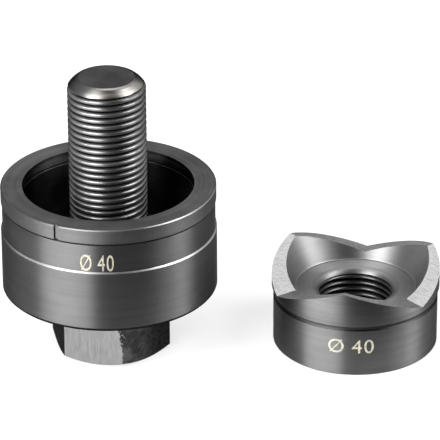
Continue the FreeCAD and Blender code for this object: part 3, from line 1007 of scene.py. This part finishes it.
def size_mark(name, mesh, axis, wall, foot, middle, body):
    """Letters wrapped round a wall: angle = middle + distance along the line / radius of the wall.
    The paint is a thin shell, half sunk into the wall."""
    flat = points_of(mesh)
    angle = math.radians(middle) + flat[:, 0] / wall
    wrapped = round_axis(axis, wall + PAINT, angle, foot + flat[:, 1])
    mesh.vertices.foreach_set("co", (wrapped * MM).ravel())
    mesh.materials.clear()
    mesh.materials.append(CREAM)
    mark = put_in_scene(name, mesh)
    shell = mark.modifiers.new("paint thickness", "SOLIDIFY")
    shell.thickness = 2 * PAINT * MM
    shell.offset = -1
    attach(mark, body)
    print(f"{name}: {len(mesh.vertices)} points, {np.ptp(flat[:, 0]):.1f} mm wide")


size_mark("die_size_mark", letters("die_size_mark", "Ø 40", 4.2, 0.62), BOLT_AXIS, DIE_ZONE,
          DIE_BASE + LEDGE + 0.6, -96.0, "die")
size_mark("punch_size_mark", letters("punch_size_mark", "Ø 40", 3.6, 1.0), PUNCH_AXIS, BODY_SIDE,
          6.0, -96.0, "draw_bolt")

# %% [markdown]
# The photograph was taken in a studio against white. The floor is a wide pale sheet, and the world
# is white where the camera or a reflection sees it, but gives only a part of that as light. The
# rest comes from large soft boxes. Polished steel shows whatever stands round it, so their places
# decide where the bright stripes fall.

# %% Floor and world
FLOOR_REACH = 4.0  # metres from the middle to a side
FLOOR_GLOW = 0.62
WORLD_LIGHT = 0.3


def seen_share(tree):
    """1 for the camera and for rays that a reflection or glass sends on, 0 for plain light."""
    rays = add(tree, "LightPath", {})
    seen = maths("MAXIMUM", rays["Is Camera Ray"], rays["Is Glossy Ray"])
    return maths("MAXIMUM", seen, rays["Is Transmission Ray"])


def dull_material(name, level):
    """A dull grey material, with its tree and its shader's inputs."""
    material, tree, look = new_material(name)
    fill(look, {"Base Color": grey(level), "Roughness": 0.9})
    return material, tree, look


def pale_floor():
    """A wide floor sheet. For the camera and for reflections it has a little glow of its own, which
    lifts its pale colour to the white of the background and leaves the object's shadow on it."""
    mesh = bpy.data.meshes.new("floor")
    ends = (-FLOOR_REACH, FLOOR_REACH)
    mesh.from_pydata([(x, y, 0) for y in ends for x in ends], [], [(0, 1, 3, 2)])
    material, tree, look = dull_material("pale floor", 0.4)
    glow = times(seen_share(tree), FLOOR_GLOW)
    fill(look, {"Specular IOR Level": 0.1, "Emission Color": grey(1), "Emission Strength": glow})
    mesh.materials.append(material)
    floor = put_in_scene("floor", mesh)


def white_world():
    """White for the camera and for reflections, and a plain weaker light for everything else."""
    world = bpy.data.worlds.new("studio")
    bpy.context.scene.world = world
    world.use_nodes = True
    tree = world.node_tree
    extra = times(seen_share(tree), 1.0 - WORLD_LIGHT)
    fill(tree.nodes["Background"].inputs,
         {"Color": grey(1), "Strength": maths("ADD", extra, WORLD_LIGHT)})


pale_floor()
white_world()

# %% [markdown]
# A studio is dark behind the camera and above it, and polished steel shows that as dark stripes. A
# dark cloth stands for that: it lies on the table in front of the object, widens away from it, and
# rises past the camera to a bar over the object. Only reflections see it, so the floor keeps its
# light and every view its white background.

# %% The dark cloth behind the camera
CLOTH_BACK, CLOTH_TOP = 1.4, 1.5  # metres, how far back and how high the arch reaches
CLOTH_MIDDLE, CLOTH_WIDTH = 0.6, 0.9
CLOTH_BAR = 0.14  # half the bar's length
CLOTH_LIFT = 0.002


def dark_cloth():
    """A sheet on the table and an arch over the object. With a from 0 to 100 degrees up the arch
    and s from -1 to 1 across it, y = -back * cos a, z = top * sin a, and x = middle + half width *
    s, where both shrink as the cloth rises. The sheet joins the arch's foot to a near edge in front
    of the object."""
    rise = np.radians(np.linspace(0, 100, 21))[:, None]
    share = np.linspace(-1, 1, 9)
    shrink = np.cos(rise / 1.12)
    across = CLOTH_MIDDLE * shrink + (CLOTH_BAR + CLOTH_WIDTH * shrink) * share
    arch = np.stack(np.broadcast_arrays(across, -CLOTH_BACK * np.cos(rise),
                                        CLOTH_TOP * np.sin(rise)), axis=2)
    near_edge = np.stack([0.04 + 0.06 * share, -0.05 + 0.03 * share, 0 * share], axis=1)
    grid = np.concatenate([near_edge[None], arch]) + [0, 0, CLOTH_LIFT]
    index = np.arange(grid.shape[0] * grid.shape[1]).reshape(grid.shape[:2])
    faces = np.stack([index[:-1, :-1], index[1:, :-1], index[1:, 1:], index[:-1, 1:]], axis=2)
    mesh = bpy.data.meshes.new("dark_cloth")
    mesh.from_pydata(grid.reshape(-1, 3).tolist(), [], faces.reshape(-1, 4).tolist())
    mesh.materials.append(dull_material("dark cloth", 0.02)[0])
    cloth = put_in_scene("dark_cloth", mesh)
    cloth.visible_camera = False
    cloth.visible_diffuse = False
    cloth.visible_shadow = False


dark_cloth()

# %% Soft boxes
TARGET = Vector((0.03, 0.0, 0.03))


def soft_box(name, azimuth, elevation, distance, width, height, power):
    """An area lamp that looks at the object. Azimuth turns anticlockwise from +X, from above."""
    turn, lift = math.radians(azimuth), math.radians(elevation)
    level = math.cos(lift)
    away = Vector((level * math.cos(turn), level * math.sin(turn), math.sin(lift)))
    lamp = bpy.data.lights.new(name, "AREA")
    lamp.shape = "RECTANGLE"
    lamp.size = width
    lamp.size_y = height
    lamp.energy = power
    box = put_in_scene(name, lamp)
    box.location = TARGET + away * distance
    box.rotation_euler = away.to_track_quat("Z", "Y").to_euler()


soft_box("left soft box", -136, 12, 0.8, 0.8, 0.3, 11.5)
soft_box("right soft box", -9, 12, 0.8, 0.3, 0.3, 2.0)
soft_box("back soft box", 100, 62, 0.9, 0.5, 0.3, 1.8)
soft_box("upper left soft box", -143, 44, 0.9, 0.5, 0.6, 8.0)
soft_box("upper right soft box", -7, 44, 0.9, 0.4, 0.6, 6.8)

# %% [markdown]
# The camera repeats the photograph's view. Its place and lens come from matching the rims, the
# thread and the hexagon: a long lens from about 0.9 m, looking down by 26 degrees.

# %% The camera
CAMERA_PLACE = Vector((11.97, -810.87, 430.78)) * MM
LENS, SENSOR = 309.07, 36.0
FARTHEST = 20.0
PITCH, YAW, ROLL = 26.18, 1.03, -0.26


def photograph_camera():
    """A camera along +Y, turned right by the yaw, tipped down by the pitch, then rolled."""
    camera = bpy.data.cameras.new("camera")
    camera.lens = LENS
    camera.sensor_width = SENSOR
    camera.clip_end = FARTHEST
    holder = put_in_scene("camera", camera)
    turns = [(-YAW, "Z"), (90 - PITCH, "X"), (ROLL, "Z")]
    aim, tip, roll = (Matrix.Rotation(math.radians(angle), 4, axis) for angle, axis in turns)
    holder.matrix_world = Matrix.Translation(CAMERA_PLACE) @ aim @ tip @ roll
    bpy.context.scene.camera = holder


photograph_camera()
bpy.context.scene.view_settings.view_transform = "Standard"
